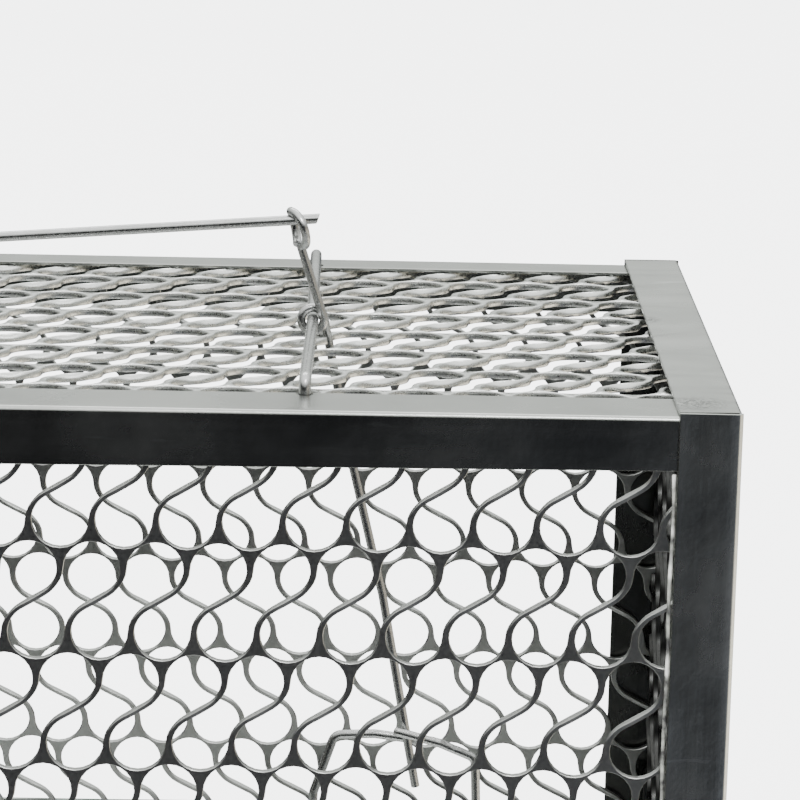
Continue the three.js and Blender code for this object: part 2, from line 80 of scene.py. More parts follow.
class Graph:
    """A node tree built step by step."""

    def __init__(self, tree):
        self.t = tree
        self.t.nodes.clear()

    def link(self, a, b):
        self.t.links.new(a, b)

    def node(self, kind, **kw):
        n = self.t.nodes.new(kind)
        for k, v in kw.items():
            setattr(n, k, v)
        return n

    def feed(self, sock, v):
        """A number, a colour or another node's output into a socket."""
        if isinstance(v, (int, float)):
            sock.default_value = v
        elif isinstance(v, tuple):
            sock.default_value = (*v, 1)
        else:
            self.link(v, sock)

    def ramp(self, fac, stops, interp="LINEAR"):
        r = self.node("ShaderNodeValToRGB")
        r.color_ramp.interpolation = interp
        e = r.color_ramp.elements
        while len(e) < len(stops):
            e.new(0.5)
        for k, (p, c) in enumerate(stops):
            e[k].position = p
            e[k].color = (c, c, c, 1) if isinstance(c, (int, float)) else (*c, 1)
        self.link(fac, r.inputs[0])
        return r.outputs[0]

    def mix(self, fac, a, b, mode="MIX"):
        n = self.node("ShaderNodeMix", data_type="RGBA", blend_type=mode)
        for k, v in ((0, fac), (MIX_A, a), (MIX_B, b)):
            self.feed(n.inputs[k], v)
        return n.outputs[MIX_RESULT]

    def maths(self, op, *values):
        n = self.node("ShaderNodeMath", operation=op)
        for sock, v in zip(n.inputs, values):
            self.feed(sock, v)
        return n.outputs[0]


class Mat(Graph):
    """A material on a Principled shader, with textures in object coordinates."""

    def __init__(self, name):
        self.mat = bpy.data.materials.new(name)
        self.mat.use_nodes = True
        super().__init__(self.mat.node_tree)
        out = self.node("ShaderNodeOutputMaterial")
        self.b = self.node("ShaderNodeBsdfPrincipled")
        self.link(self.b.outputs[0], out.inputs[0])
        self.tc = self.node("ShaderNodeTexCoord")

    def coords(self, scale=(1, 1, 1), turn=(0, 0, 0)):
        m = self.node("ShaderNodeMapping")
        m.inputs["Scale"].default_value = scale
        m.inputs["Rotation"].default_value = turn
        self.link(self.tc.outputs["Object"], m.inputs["Vector"])
        return m.outputs[0]

    def noise(self, scale, detail=4, rough=0.55, vec=None, distort=0.0):
        n = self.node("ShaderNodeTexNoise")
        n.inputs["Scale"].default_value = scale
        n.inputs["Detail"].default_value = detail
        n.inputs["Roughness"].default_value = rough
        n.inputs["Distortion"].default_value = distort
        self.link(vec or self.coords(), n.inputs["Vector"])
        return n.outputs["Fac"]

    def voronoi(self, scale):
        n = self.node("ShaderNodeTexVoronoi")
        n.inputs["Scale"].default_value = scale
        self.link(self.coords(), n.inputs["Vector"])
        return n.outputs["Distance"]

    def near(self, point, reach):
        """One at the point, falling to nothing at the given distance."""
        d = self.node("ShaderNodeVectorMath", operation="DISTANCE")
        self.link(self.tc.outputs["Object"], d.inputs[0])
        d.inputs[1].default_value = point
        return self.ramp(self.maths("DIVIDE", d.outputs["Value"], reach), [(0.4, 1), (1.0, 0)])

    def stain(self, base, where, amount, color):
        """The base colour with another laid over it, by a mask times an amount."""
        return self.mix(self.maths("MULTIPLY", where, amount), base, color)

    def bump(self, height, strength, distance, normal=None):
        n = self.node("ShaderNodeBump")
        n.inputs["Strength"].default_value = strength
        n.inputs["Distance"].default_value = distance
        self.link(height, n.inputs["Height"])
        if normal is not None:
            self.link(normal, n.inputs["Normal"])
        return n.outputs[0]

    def done(self, color, rough, normal, metallic=1.0):
        self.link(color, self.b.inputs["Base Color"])
        self.link(rough, self.b.inputs["Roughness"])
        self.link(normal, self.b.inputs["Normal"])
        self.b.inputs["Metallic"].default_value = metallic
        return self.mat


def strip_steel(name, tone=1.0, along=(1, 1, 1), scuffs=(), wrinkles=0.0):
    """Zinc-plated strip: satin, faint rolling lines, cloudy patches, small scratches and specks.
    scuffs are (point, reach) of dark rub marks, in metres; wrinkles is a bump strength."""
    m = Mat(name)
    cloud = m.noise(38, 5, 0.6)
    fine = m.noise(900, 3, 0.6)
    lines = m.noise(260, 4, 0.7, vec=m.coords(along))
    specks = m.ramp(m.noise(1500, 2, 0.5), [(0.66, 0), (0.72, 1)])
    slanted = m.coords((0.12, 1.0, 1.0), (0.4, 0.5, 0.7))
    scratch = m.ramp(m.noise(420, 3, 0.5, vec=slanted, distort=0.6), [(0.70, 0), (0.74, 1)])
    base = m.ramp(cloud, [(0.3, toned(tone, (0.46, 0.47, 0.45))), (0.7, toned(tone, (0.60, 0.61, 0.585)))])
    base = m.stain(base, lines, 0.35, toned(tone, (0.50, 0.515, 0.50)))
    base = m.stain(base, specks, 0.25, toned(tone, (0.80, 0.80, 0.78)))
    base = m.stain(base, scratch, 0.35, toned(tone, (0.82, 0.83, 0.82)))
    for at, reach in scuffs:
        marks = m.ramp(m.noise(520, 4, 0.65, distort=2.2), [(0.47, 0), (0.51, 1), (0.57, 1), (0.61, 0)])
        marks = m.maths("MULTIPLY", marks, m.near(at, reach))
        base = m.stain(base, marks, 0.8, toned(tone, (0.10, 0.10, 0.10)))
    rough = m.maths("ADD", m.ramp(cloud, [(0.3, 0.19), (0.7, 0.27)]), m.maths("MULTIPLY", lines, 0.06))
    n = m.bump(cloud, 0.10, 0.002)
    if wrinkles:
        across = m.coords((0.45, 1, 1), (0, 0, 0.35))
        n = m.bump(m.noise(62, 2, 0.45, vec=across, distort=0.7), wrinkles, 0.0012, n)
    n = m.bump(lines, 0.12, 0.0002, n)
    n = m.bump(fine, 0.10, 0.00012, n)
    return m.done(base, rough, n)


def mesh_steel(name, tone, edge_tint=1.0, rough_lo=0.27, shear=0.16):
    """Punched and pulled sheet: mottled zinc with sheared, striated walls."""
    m = Mat(name)
    cloud = m.noise(120, 4, 0.6)
    grain = m.noise(1400, 4, 0.65)
    streak = m.noise(2600, 3, 0.6, vec=m.coords((0.25, 1.0, 1.0), (0.3, 0.2, 0.5)))
    pits = m.ramp(m.noise(700, 3, 0.6), [(0.62, 0), (0.78, 1)])
    base = m.ramp(cloud, [(0.3, toned(tone, (0.55, 0.56, 0.545))), (0.7, toned(tone, (0.70, 0.71, 0.69)))])
    base = m.stain(base, pits, 0.3, toned(tone, (0.30, 0.30, 0.28)))
    base = m.stain(base, streak, 0.25, toned(tone, (0.80, 0.80, 0.78)))
    rough = m.ramp(grain, [(0.3, rough_lo), (0.7, 0.40)])
    n = m.bump(cloud, 0.12, 0.0005)
    n = m.bump(streak, shear, 0.0001, n)
    n = m.bump(grain, 0.08, 0.00005, n)
    m.b.inputs["Specular Tint"].default_value = (edge_tint, edge_tint, edge_tint, 1)
    return m.done(base, rough, n)


def wire_steel(name, tone=0.85, rough_lo=0.20, rough_hi=0.31):
    """Bright zinc-coated drawn wire with soft mottling, scuffs and dull spots."""
    m = Mat(name)
    cloud = m.noise(160, 3, 0.5)
    grain = m.noise(1100, 3, 0.5)
    scuff = m.ramp(m.noise(300, 3, 0.55, distort=0.5), [(0.60, 0), (0.80, 1)])
    base = m.ramp(cloud, [(0.3, toned(tone, (0.60, 0.605, 0.60))), (0.72, toned(tone, (0.76, 0.765, 0.76)))])
    base = m.stain(base, scuff, 0.4, toned(tone, (0.46, 0.46, 0.45)))
    rough = m.ramp(grain, [(0.3, rough_lo), (0.7, rough_hi)])
    rough = m.maths("ADD", rough, m.maths("MULTIPLY", scuff, 0.12))
    n = m.bump(cloud, 0.08, 0.0002)
    n = m.bump(grain, 0.04, 0.00002, n)
    return m.done(base, rough, n)


def zinc_edge_with_painted_glints(name):
    """Dull, light cut edge of zinc with painted highlights: brighter dabs that stand in for glints."""
    m = Mat(name)
    cloud = m.noise(260, 4, 0.6)
    painted_glints = m.ramp(m.noise(150, 2, 0.5), [(0.55, 0), (0.66, 1)])
    base = m.ramp(cloud, [(0.38, (0.05, 0.05, 0.05)), (0.62, (0.38, 0.39, 0.35))])
    # painted highlight: the light dabs stand in for glints along the edge
    base = m.stain(base, painted_glints, 0.8, (0.88, 0.88, 0.84))
    rough = m.ramp(cloud, [(0.3, 0.45), (0.7, 0.3)])
    return m.done(base, rough, m.bump(cloud, 0.3, 0.0002), metallic=0.25)


def plate_steel(name):
    """Plain galvanised sheet with a faint spangle."""
    m = Mat(name)
    cell = m.voronoi(170)
    cloud = m.noise(30, 5, 0.6)
    grain = m.noise(1200, 3, 0.6)
    base = m.mix(m.ramp(cell, [(0.15, 0), (0.65, 1)]), (0.50, 0.52, 0.51), (0.66, 0.675, 0.66))
    base = m.stain(base, cloud, 0.5, (0.55, 0.56, 0.55))
    rough = m.maths("ADD", m.ramp(cell, [(0.1, 0.30), (0.7, 0.42)]), m.maths("MULTIPLY", grain, 0.06))
    n = m.bump(cloud, 0.10, 0.0015)
    n = m.bump(grain, 0.15, 0.0001, n)
    return m.done(base, rough, n)


STRIP_X = strip_steel("strip_along_x", 0.9, along=(0.04, 1, 1))
SCUFFS = (((0.2125, -0.066, 0.150), 0.007), ((0.208, 0.01, 0.150), 0.004))
STRIP_Y = strip_steel("strip_along_y", along=(1, 0.04, 1), scuffs=SCUFFS, wrinkles=0.55)
MESH = mesh_steel("punched_mesh", 0.78)
# painted light: the rear sheet is a lighter copy of the front sheet's steel, standing in for the light it picks up
MESH_REAR_PAINTED_LIGHT = mesh_steel("punched_mesh_rear_painted_light", 0.85)
# painted highlight: the roof sheet is a much lighter copy of the mesh steel, painted bright to stand in for its
# glints
MESH_ROOF_PAINTED_GLINTS = mesh_steel("punched_mesh_roof_painted_glints", 1.22, rough_lo=0.19, shear=0.2)
# painted shade: the closed end's sheet is a near-black copy of the mesh steel, with its edge reflections dimmed,
# standing in for shade
MESH_END_PAINTED_SHADE = mesh_steel("punched_mesh_end_painted_shade", 0.13, edge_tint=0.05)
# painted light: the front posts are a lighter copy of the strip steel, standing in for the light they catch
POST_PAINTED_LIGHT = strip_steel("strip_post_painted_light", 1.4, along=(1, 1, 0.04))
# painted shade: the rear posts are a dark copy of the strip steel, standing in for the shade they sit in
POST_REAR_PAINTED_SHADE = strip_steel("strip_post_rear_painted_shade", 0.32, along=(1, 1, 0.04))
EDGE = zinc_edge_with_painted_glints("zinc_edge_painted_glints")
WIRE = wire_steel("drawn_wire")
SPRING = wire_steel("spring_wire", 0.55, 0.24, 0.4)
PLATE = plate_steel("galvanised_plate")


# ---- mesh helpers --------------------------------------------------------------------------------
def new_object(name, verts, faces, mat, body, slot, replaces, smooth):
    """A visible piece from points in millimetres; edges sharper than smooth degrees stay sharp."""
    me = bpy.data.meshes.new(name)
    me.from_pydata([tuple(c / MM_PER_M for c in v) for v in verts], [], faces)
    me.validate()
    me.update()
    me.shade_smooth()
    me.set_sharp_from_angle(angle=math.radians(smooth))
    me.materials.append(mat)
    ob = bpy.data.objects.new(name, me)
    SCENE.collection.objects.link(ob)
    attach(ob, body)
    if replaces:
        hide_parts(*replaces)
    return ob


def rounded(points, bend, n=6):
    """Centreline through points with its corners rounded; bend is the radius of the centreline."""
    straight, share = math.radians(88.8), 0.48  # half angle of no bend at all; most of a side a bend may take
    pts = [Vector(p) for p in points]
    out = [pts[0]]
    for i in range(1, len(pts) - 1):
        a, b = pts[i - 1] - pts[i], pts[i + 1] - pts[i]
        la, lb = a.length, b.length
        a.normalize()
        b.normalize()
        half = a.angle(b) / 2
        if half > straight:
            out.append(pts[i])
            continue
        cut = min(bend / math.tan(half), la * share, lb * share)
        p0, p1 = pts[i] + a * cut, pts[i] + b * cut
        for k in range(n + 1):
            t = k / n
            out.append(p0 * (1 - t) ** 2 + pts[i] * (2 * t * (1 - t)) + p1 * t * t)
    out.append(pts[-1])
    return out


def dense(path, step):
    """The path with points added so that none are further apart than step."""
    out = [path[0]]
    for a, b in zip(path, path[1:]):
        n = max(1, math.ceil((b - a).length / step))
        out += [a.lerp(b, k / n) for k in range(1, n + 1)]
    return out


def skin(rings, size):
    """Faces of a closed skin over a row of rings of size points each."""
    faces = []
    for i in range(rings - 1):
        for j in range(size):
            k = (j + 1) % size
            faces.append((i * size + j, i * size + k, (i + 1) * size + k, (i + 1) * size + j))
    faces.append(tuple(range(size))[::-1])
    faces.append(tuple((rings - 1) * size + j for j in range(size)))
    return faces


def tube_data(path, r, sides=20, ends=("round", "round"), bulge=None, dents=()):
    """Rings round a path with rounded, or cut and slightly chamfered, ends. bulge scales the radius by the
    share of the way along. dents are (distance along, half length, depth, side angle) flats, as pliers leave."""
    along = [0.0]
    for a, b in zip(path, path[1:]):
        along.append(along[-1] + (b - a).length)
    total = along[-1]
    last = len(path) - 1
    tang = [(path[min(i + 1, last)] - path[max(i - 1, 0)]).normalized() for i in range(last + 1)]

    def cap(centre, t, way, kind, s):
        if kind == "round":
            dome, steps = 0.55, (30, 55, 75)   # height of the dome over the radius; degrees up it
            return [(centre + t * (way * r * dome * math.sin(a)), t, math.cos(a), s)
                    for a in (math.radians(d) for d in steps)]
        rise, narrow = 0.10, 0.86              # chamfer of a cut end, as shares of the radius
        return [(centre + t * (way * r * rise), t, narrow, s)]

    # each ring: centre, tangent, radius scale, distance along
    seq = cap(path[0], tang[0], -1, ends[0], 0.0)[::-1]
    seq += [(path[i], tang[i], 1.0, along[i]) for i in range(last + 1)]
    seq += cap(path[-1], tang[-1], 1, ends[1], total)
    verts = []
    u = Vector((0, 1, 0))
    if abs(u.dot(seq[0][1])) > 0.9:
        u = Vector((1, 0, 0))
    before = seq[0][1]
    for c, t, k, s in seq:
        u = before.rotation_difference(t) @ u
        u = (u - t * u.dot(t)).normalized()
        v = t.cross(u)
        rr = r * k * (bulge(s / total) if bulge else 1.0)
        for j in range(sides):
            a = 2 * math.pi * j / sides
            q = rr
            for at, half, depth, side in dents:
                if abs(s - at) < half:
                    fall = 0.5 + 0.5 * math.cos(math.pi * (s - at) / half)
                    q -= depth * fall * max(0.0, math.cos(a - side)) ** 2
            verts.append(c + (u * math.cos(a) + v * math.sin(a)) * q)
        before = t
    return verts, skin(len(seq), sides)


def wire(name, path, r, body, node, mat=WIRE, slot="wire", step=2.0, **kw):
    data = tube_data(dense(path, step), r, **kw)
    return new_object(name, *data, mat, body, slot, (node,), 50)


# ---- folded strips -------------------------------------------------------------------------------
def section(leg_a, leg_b, n=6):
    """Outline of a folded angle, a along one leg and b along the other; cut edges slightly eased."""
    e, r = 0.16, FOLD - SHEET                  # easing of the cut edges, and the fold's inner radius
    pts = [(leg_a, e), (leg_a, SHEET - e), (leg_a - e, SHEET)]
    pts += [(FOLD + (leg_a - e - FOLD) * (1 - k / n), SHEET) for k in range(1, n)]
    for d in (0, 45, 90):
        pts.append((FOLD - r * math.sin(math.radians(d)), FOLD - r * math.cos(math.radians(d))))
    pts += [(SHEET, FOLD + (leg_b - e - FOLD) * k / n) for k in range(1, n)]
    pts += [(SHEET, leg_b - e), (SHEET - e, leg_b), (e, leg_b), (0, leg_b - e)]
    pts += [(0, FOLD + (leg_b - e - FOLD) * (1 - k / n)) for k in range(1, n)]
    steps = 8
    for k in range(steps + 1):
        d = math.radians(90 - k * 90 / steps)
        pts.append((FOLD - FOLD * math.sin(d), FOLD - FOLD * math.cos(d)))
    pts += [(FOLD + (leg_a - e - FOLD) * k / n, 0) for k in range(1, n)]
    return pts + [(leg_a - e, 0)]


def strip(name, node, a0, a1, da, db, legs0, legs1, mat, seed, cope=0.0, wave=0.14, dents=(), hole=None):
    """Angle strip from fold corner a0 to a1; da and db point along its legs, and legs0 and legs1 are their
    widths at the two ends. cope is how far from each end the second leg is cut away. dents are (distance
    from a0, half length, depth) hollows across leg a. hole is the middle of a bore, up and down."""
    a0, a1, da, db = Vector(a0), Vector(a1), Vector(da), Vector(db)
    spacing, step, short = 3.5, 0.02, FOLD + 0.35  # between rings, at a cope's edge, and a coped leg's rest
    full, soft = 12, 8                         # how far out on a leg its waves and dents reach full depth
    length, along = (a1 - a0).length, (a1 - a0).normalized()
    n = math.ceil(length / spacing)
    stops = [length * k / n for k in range(n + 1)]
    if cope:
        stops += [cope, cope + step, length - cope - step, length - cope]
    verts, size = [], len(section(LEG, LEG))
    for d in sorted(stops):
        t = d / length
        la, lb = (legs0[k] + (legs1[k] - legs0[k]) * t for k in (0, 1))
        if cope and (d <= cope or d >= length - cope):
            lb = short
        for a, b in section(la, lb):
            q = Vector((d * 0.055 + seed, a * 0.12, b * 0.12 + seed))
            push_a = wave * (0.5 + 0.5 * noise.noise(q)) * min(1.0, a / full) ** 1.5
            push_b = wave * (0.5 + 0.5 * noise.noise(q + Vector((5, 2, 8)))) * min(1.0, b / full) ** 1.5
            for at, half, depth in dents:
                if abs(d - at) < half:
                    push_a += depth * (0.5 + 0.5 * math.cos(math.pi * (d - at) / half)) * min(1.0, a / soft)
            verts.append(a0 + along * d + da * (a + push_b) + db * (b + push_a))
    faces = skin(len(stops), size)
    if da.cross(db).dot(along) > 0:
        faces = [tuple(reversed(f)) for f in faces]
    ob = new_object(name, verts, faces, mat, "cage", "strip", (node,), 40)
    if hole:
        bore(ob, hole)


def bore(ob, at):
    """A round hole for the pivot wire, straight down through the strip."""
    radius, depth = 0.0017, 0.01
    bm = bmesh.new()
    bmesh.ops.create_cone(bm, cap_ends=True, segments=32, radius1=radius, radius2=radius, depth=depth)
    bm.transform(Matrix.Translation(Vector(at) / MM_PER_M))
    me = bpy.data.meshes.new(ob.name + "_bore")
    bm.to_mesh(me)
    bm.free()
    cutter = bpy.data.objects.new(ob.name + "_bore", me)
    SCENE.collection.objects.link(cutter)
    mod = ob.modifiers.new("cut", "BOOLEAN")
    mod.operation, mod.object, mod.solver = "DIFFERENCE", cutter, "EXACT"
    bpy.context.view_layer.update()
    done = bpy.data.meshes.new_from_object(ob.evaluated_get(bpy.context.evaluated_depsgraph_get()))
    ob.modifiers.clear()
    ob.data = done
    bpy.data.objects.remove(cutter)


TOP_DENTS = ((7, 5, 0.35), (14, 3.5, 0.2), (24, 5, 0.3), (37, 6, 0.16),
             (58, 5, 0.28), (76, 7, 0.2), (101, 5, 0.25), (122, 6, 0.2))


def build_rails():
    """The four long strips; the top ones' legs change width a little, and the pivot wire goes through them."""
    inset, reach = 1.1, 148.1                  # under the end frames' faces, and half the rails' length
    y, z = HALF - inset, HEIGHT - inset
    even = (LEG, LEG)
    rails = (("top_front", -y, z, 1, -1, (14.2, 12.9), (16, 11)),
             ("top_rear", y, z, -1, -1, (9.2, 12.2), (9.2, 11.4)),
             ("bottom_front", -y, inset, 1, 1, even, even),
             ("bottom_rear", y, inset, -1, 1, even, even))
    holes = {"top_front": (*PIVOT_FRONT, z), "top_rear": (*PIVOT_REAR, z)}
    for k, (tag, yy, zz, sy, sz, legs0, legs1) in enumerate(rails):
        strip("strip_rail_" + tag, "rail_" + tag, (SHIFT - reach, yy, zz), (SHIFT + reach, yy, zz),
              (0, sy, 0), (0, 0, sz), legs0, legs1, STRIP_X, 1.7 * k, hole=holes.get(tag))


def build_end_frames():
    even = (LEG, LEG)
    short = 1.5                                # the level strips stop this far inside the posts' faces
    for tag, xx, sx in (("closed_end", X1, -1), ("door_end", X0, 1)):
        for part, zz, sz in (("top", HEIGHT, -1), ("bottom", 0, 1)):
            strip(f"strip_{tag}_{part}", f"{tag}_strip_{part}", (xx, short - HALF, zz), (xx, HALF - short, zz),
                  (sx, 0, 0), (0, 0, sz), even, even, STRIP_Y, 3.1 + xx * 0.01 + sz, cope=11.4,
                  dents=TOP_DENTS if part == "top" else ())
        # front posts take the lighter copy as painted light, rear posts the dark copy as painted shade
        for part, yy, sy, mat in (("front", -HALF, 1, POST_PAINTED_LIGHT), ("rear", HALF, -1, POST_REAR_PAINTED_SHADE)):
            strip(f"strip_{tag}_post_{part}", f"{tag}_post_{part}", (xx, yy, 0.1), (xx, yy, HEIGHT - 0.1),
                  (sx, 0, 0), (0, sy, 0), even, even, mat, 6.3 + xx * 0.01 + sy, cope=1.75, wave=0.3)


# ---- punched and pulled mesh ---------------------------------------------------------------------
def void_outline(lean, strand, n_arc=12, n_side=6):
    """One opening below an intact line whose down-cusps are at 0 and PITCH. For each point: its place, the
    outward direction, half the strand's width there and the share of the strand's twist."""
    r, cusp_width = HOLE_R, PITCH - 2 * HOLE_R
    top = np.array([PITCH / 2, WEB - r])
    low = np.array([PITCH / 2 - lean * PITCH, -ROW - WEB + r])
    d = low + np.array([PITCH, 0]) - top
    turn = math.atan2(d[1], d[0]) + math.acos(2 * (r + strand / 2) / np.hypot(*d))
    alpha = -turn                              # how far round a hole a strand follows it
    narrowed = math.radians(42)                # how far round a hole the metal is down to a strand
    pts = []

    def width(a):
        """Width of the metal between two holes, wide at the cusp and narrow along the strand."""
        t = min(1.0, a / narrowed)
        return strand + (cusp_width - strand) * (1 - t * t * (3 - 2 * t))

    def arc(c, rad_of, a0, a1, n, edge, skip=0):
        for k in range(skip, n + 1):
            a = a0 + (a1 - a0) * k / n
            e = np.array([math.cos(a), math.sin(a)])
            half, tw = 0.0, 0.0
            if edge:
                off = min(abs(a), abs(abs(a) - math.pi))
                half = width(off) / 2
                tw = max(0.0, off / alpha) ** 2
            pts.append((c + e * rad_of(a), -e if edge == "outer" else e, half, tw))

    def straight(p, q, out, n=5):
        for k in range(1, n):
            t = k / n
            pts.append((p + (q - p) * t, out, strand / 2, 1.0 + 1.2 * math.sin(math.pi * t)))

    nrm = np.array([math.cos(turn), math.sin(turn)])
    right = low + np.array([PITCH, 0])
    left = top - np.array([PITCH, 0])
    arc(top, lambda a: r, math.pi, 0, n_arc, "")
    arc(top, lambda a: r, 0, -alpha, n_side, "inner", 1)
    straight(top + nrm * r, right - nrm * (r + strand), nrm)
    arc(right, lambda a: r + width(abs(math.pi - a)), math.pi - alpha, math.pi, n_side, "outer")
    arc(low, lambda a: r, 0, -math.pi, n_arc, "", 1)
    arc(low, lambda a: r, math.pi, math.pi - alpha, n_side, "inner", 1)
    straight(low - nrm * r, left + nrm * (r + strand), -nrm)
    arc(left, lambda a: r + width(abs(a)), -alpha, 0, n_side, "outer")
    return pts[:-1]


def inside(poly, x, y):
    """Whether a point lies in a polygon."""
    xs, ys = poly[:, 0], poly[:, 1]
    xn, yn = np.roll(xs, -1), np.roll(ys, -1)
    cross = (ys > y) != (yn > y)
    with np.errstate(divide="ignore", invalid="ignore"):
        at = (xn - xs) * (y - ys) / (yn - ys) + xs
    return np.count_nonzero(cross & (x < at)) % 2 == 1


def openings(lo, hi, line, cusp, shift, row, mirror):
    """The outlines of the openings that touch the sheet lo..hi, as (u, v, outward u, outward v, half the
    strand's width, share of twist). Mirrored sheets lean the other way."""
    k = row / ROW
    s = -1 if mirror else 1
    shape = void_outline(0.5 + shift / PITCH, STRAND / k)
    above = math.ceil((hi[1] + row - line) / row)
    below = math.ceil((line - lo[1]) / row) + 1
    near = 14                                  # an opening reaches less than this beside its cusp
    found = []
    for j in range(-above, below + 1):
        v0 = line - j * row
        base = cusp - s * shift * j
        n0 = math.floor((lo[0] - near - base) / PITCH) - 1
        n1 = math.ceil((hi[0] + near - base) / PITCH) + 1
        for n in range(n0, n1 + 1):
            pts = [(base + s * p[0] + n * PITCH, v0 + p[1] * k, s * out[0], out[1], half, tw)
                   for p, out, half, tw in shape]
            us, vs = [q[0] for q in pts], [q[1] for q in pts]
            if max(us) >= lo[0] - 1 and min(us) <= hi[0] + 1 and max(vs) >= lo[1] - 1 and min(vs) <= hi[1] + 1:
                found.append(pts)
    return found


def fill(corners, loops, bev):
    """Flat points of a sheet with openings, each opening's first index, and the triangles between them."""
    flat, polys, starts = list(corners), [list(range(4))], []
    for pts in loops:
        starts.append(len(flat))
        polys.append(list(range(len(flat), len(flat) + len(pts))))
        flat += [(q[0] + q[2] * bev, q[1] + q[3] * bev) for q in pts]
    edges = []
    for poly in polys:
        edges += [(poly[i], poly[(i + 1) % len(poly)]) for i in range(len(poly))]
    points, _, tris, origin = delaunay_2d_cdt([Vector(p) for p in flat], edges, [], 0, 1e-6)[:4]
    given = {i: o[-1] for i, o in enumerate(origin) if o}
    hole_of = {i: h for h, poly in enumerate(polys[1:]) for i in poly}
    outlines = [np.array([flat[i] for i in poly]) for poly in polys[1:]]
    keep = []
    for t in tris:
        ids = [given.get(i, -1) for i in t]
        holes = {hole_of.get(i, -1) for i in ids}
        if len(holes) == 1 and -1 not in holes:  # all three on one opening: drop it if it lies inside
            c = sum((points[i] for i in t), Vector((0, 0))) / 3
            if inside(outlines[holes.pop()], c.x, c.y):
                continue
        keep.append(ids)
    return flat, starts, keep


def panel_data(lo, hi, line, cusp, shift, row, mirror, twist, seed, bev):
    """Vertices (u, v, w) and faces of a sheet that reaches past lo..hi. line is one intact line's v, cusp the
    u of one of its down-cusps, shift how far the next line down moves."""
    big = 30                                   # how far the untrimmed sheet reaches past its size
    corners = [(lo[0] - big, lo[1] - big), (hi[0] + big, lo[1] - big),
               (hi[0] + big, hi[1] + big), (lo[0] - big, hi[1] + big)]
    loops = openings(lo, hi, line, cusp, shift, row, mirror)
    flat, starts, tris = fill(corners, loops, bev)
    # four rings for every opening: front face, upper wall, lower wall, back face
    ring = [(bev, THICK / 2), (0.0, THICK / 2 - bev), (0.0, -THICK / 2 + bev), (bev, -THICK / 2)]
    count = len(flat)
    verts = [None] * (count * 4)
    for i, c in enumerate(corners):
        for layer, (_, w) in enumerate(ring):
            verts[layer * count + i] = (c[0], c[1], w)
    for start, pts in zip(starts, loops):
        for i, (u, v, ou, ov, half, tw) in enumerate(pts):
            ca, sa = math.cos(twist * tw), math.sin(twist * tw)
            sign = 1.0 if ov < 0 or (ov == 0 and ou > 0) else -1.0
            for layer, (grow, w) in enumerate(ring):
                if tw > 0:                     # turned about the strand's middle
                    inward = half - grow
                    grow = half - (inward * ca - sign * w * sa)
                    w = inward * sa * sign + w * ca
                verts[layer * count + start + i] = (u + ou * grow, v + ov * grow, w)
    faces = []
    for t in tris:
        faces.append(tuple(t))
        faces.append(tuple(3 * count + i for i in reversed(t)))

    def wall(a, b):
        for layer in range(3):
            faces.append((layer * count + a, layer * count + b, (layer + 1) * count + b, (layer + 1) * count + a))

    for start, pts in zip(starts, loops):
        for i in range(len(pts)):
            wall(start + i, start + (i + 1) % len(pts))
    for i in range(4):
        wall((i + 1) % 4, i)
    flat_wave, deep_wave = 0.16, 0.12          # slow waves, as a pulled sheet has
    out = []
    for u, v, w in verts:
        q = Vector((u * 0.035 + seed, v * 0.05, seed * 1.7))
        out.append((u + flat_wave * noise.noise(q), v + flat_wave * noise.noise(q + Vector((9, 3, 1))),
                    w + deep_wave * noise.noise(q + Vector((4, 7, 5)))))
    return out, faces


def islands(bm):
    """The mesh's vertices in connected groups, the largest last."""
    seen, groups = set(), []
    for v in bm.verts:
        if v in seen:
            continue
        stack, group = [v], []
        seen.add(v)
        while stack:
            w = stack.pop()
            group.append(w)
            for e in w.link_edges:
                o = e.other_vert(w)
                if o not in seen:
                    seen.add(o)
                    stack.append(o)
        groups.append(group)
    return sorted(groups, key=len)


def cut_panel(verts, faces, lo, hi):
    """The sheet trimmed to its size, without loose scraps."""
    bm = bmesh.new()
    vs = [bm.verts.new(v) for v in verts]
    for f in faces:
        try:
            bm.faces.new([vs[i] for i in f])
        except ValueError:                     # a face that is there already
            pass
    for co, no in (((lo[0], 0, 0), (-1, 0, 0)), ((hi[0], 0, 0), (1, 0, 0)),
                   ((0, lo[1], 0), (0, -1, 0)), ((0, hi[1], 0), (0, 1, 0))):
        g = bmesh.ops.bisect_plane(bm, geom=bm.verts[:] + bm.edges[:] + bm.faces[:], dist=1e-5,
                                   plane_co=co, plane_no=no, clear_outer=True)
        cut = [e for e in g["geom_cut"] if isinstance(e, bmesh.types.BMEdge) and len(e.link_faces) == 1]
        if cut:
            bmesh.ops.holes_fill(bm, edges=cut, sides=0)
    for scrap in islands(bm)[:-1]:
        bmesh.ops.delete(bm, geom=scrap, context="VERTS")
    bmesh.ops.recalc_face_normals(bm, faces=bm.faces[:])
    bm.verts.index_update()
    out = [tuple(v.co) for v in bm.verts]
    fs = [tuple(v.index for v in f.verts) for f in bm.faces]
    bm.free()
    return out, fs


def panel(name, node, body, lo, hi, lines, place, mat, twist, seed, bev=0.13, smooth=33):
    """A punched sheet. lines is (an intact line's v, a down-cusp's u, the shift per line, the spacing of the
    lines, whether it leans the other way); place puts sheet coordinates into the shared frame."""
    verts, faces = cut_panel(*panel_data(lo, hi, *lines, twist, seed, bev), lo, hi)
    new_object(name, [place(*v) for v in verts], faces, mat, body, "mesh", (node,), smooth)


def door_point(x, y, z):
    """A point of the shut door, from its hinge, as the open door carries it."""
    c, s = math.cos(DOOR_OPEN), math.sin(DOOR_OPEN)
    return (HINGE[0] + x * c + z * s, y, HINGE[1] - x * s + z * c)


